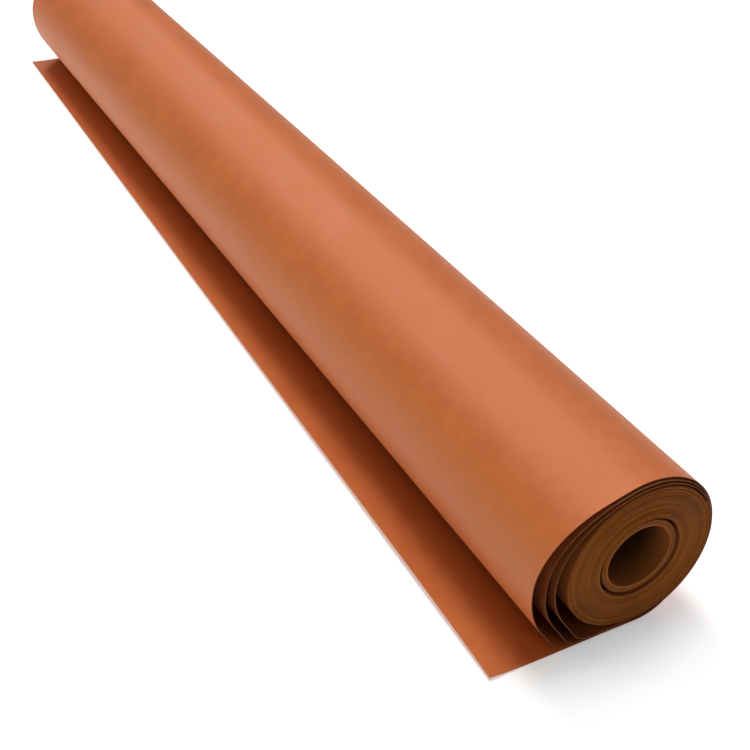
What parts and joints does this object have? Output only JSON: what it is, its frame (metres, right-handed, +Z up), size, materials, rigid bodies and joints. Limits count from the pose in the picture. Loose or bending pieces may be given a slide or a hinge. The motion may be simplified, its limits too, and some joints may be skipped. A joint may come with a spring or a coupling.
{
  "type": "copper foil sheet roll",
  "caption": "Wide roll of thin copper foil sheet on a paperboard core, lying on its loose outer turns with its free tail laid flat beside it.",
  "frame": {"origin": "on the surface the roll lies on, at mid-length, straight below the axis of the core", "axes": "+Y along the roll's axis from the near end to the far end, +Z up, the free tail lies towards -X"},
  "size_m": [0.0864, 0.6108, 0.0646],
  "materials": {
    "copper_foil": "satin copper, faintly mottled, with a soft broad sheen",
    "core_board": "brown spirally wound paperboard, matte"
  },
  "bodies": {
    "loose_turns": {"outer_turn": "copper_foil", "middle_turn": "copper_foil", "inner_turn": "copper_foil"},
    "pack": {"wound_pack": "copper_foil"},
    "core": {"core_tube": "core_board"},
    "tail_root": {"tail_root": "copper_foil"},
    "tail_middle": {"tail_middle": "copper_foil"},
    "tail_edge": {"tail_edge": "copper_foil"}
  },
  "joints": [
    {"name": "pack_telescope", "type": "slide", "parent": "loose_turns", "child": "pack", "axis": [0, -1, 0], "range_m": [-0.02, 0.02]},
    {"name": "core_slide", "type": "slide", "parent": "pack", "child": "core", "axis": [0, -1, 0], "range_m": [-0.62, 0.62]},
    {"name": "tail_lift", "type": "hinge", "parent": "loose_turns", "child": "tail_root", "pos_m": [-0.0275, 0, 0.0002], "axis": [0, 1, 0], "range_deg": [0, 40]},
    {"name": "tail_curl_middle", "type": "hinge", "parent": "tail_root", "child": "tail_middle", "pos_m": [-0.0355, 0, 0.0002], "axis": [0, 1, 0], "range_deg": [0, 10]},
    {"name": "tail_curl_edge", "type": "hinge", "parent": "tail_middle", "child": "tail_edge", "pos_m": [-0.043, 0, 0.0002], "axis": [0, 1, 0], "range_deg": [0, 10]}
  ],
  "couplings": [
    {"joint": "tail_curl_middle", "follows": "tail_lift", "ratio": 0.25},
    {"joint": "tail_curl_edge", "follows": "tail_lift", "ratio": 0.25}
  ]
}
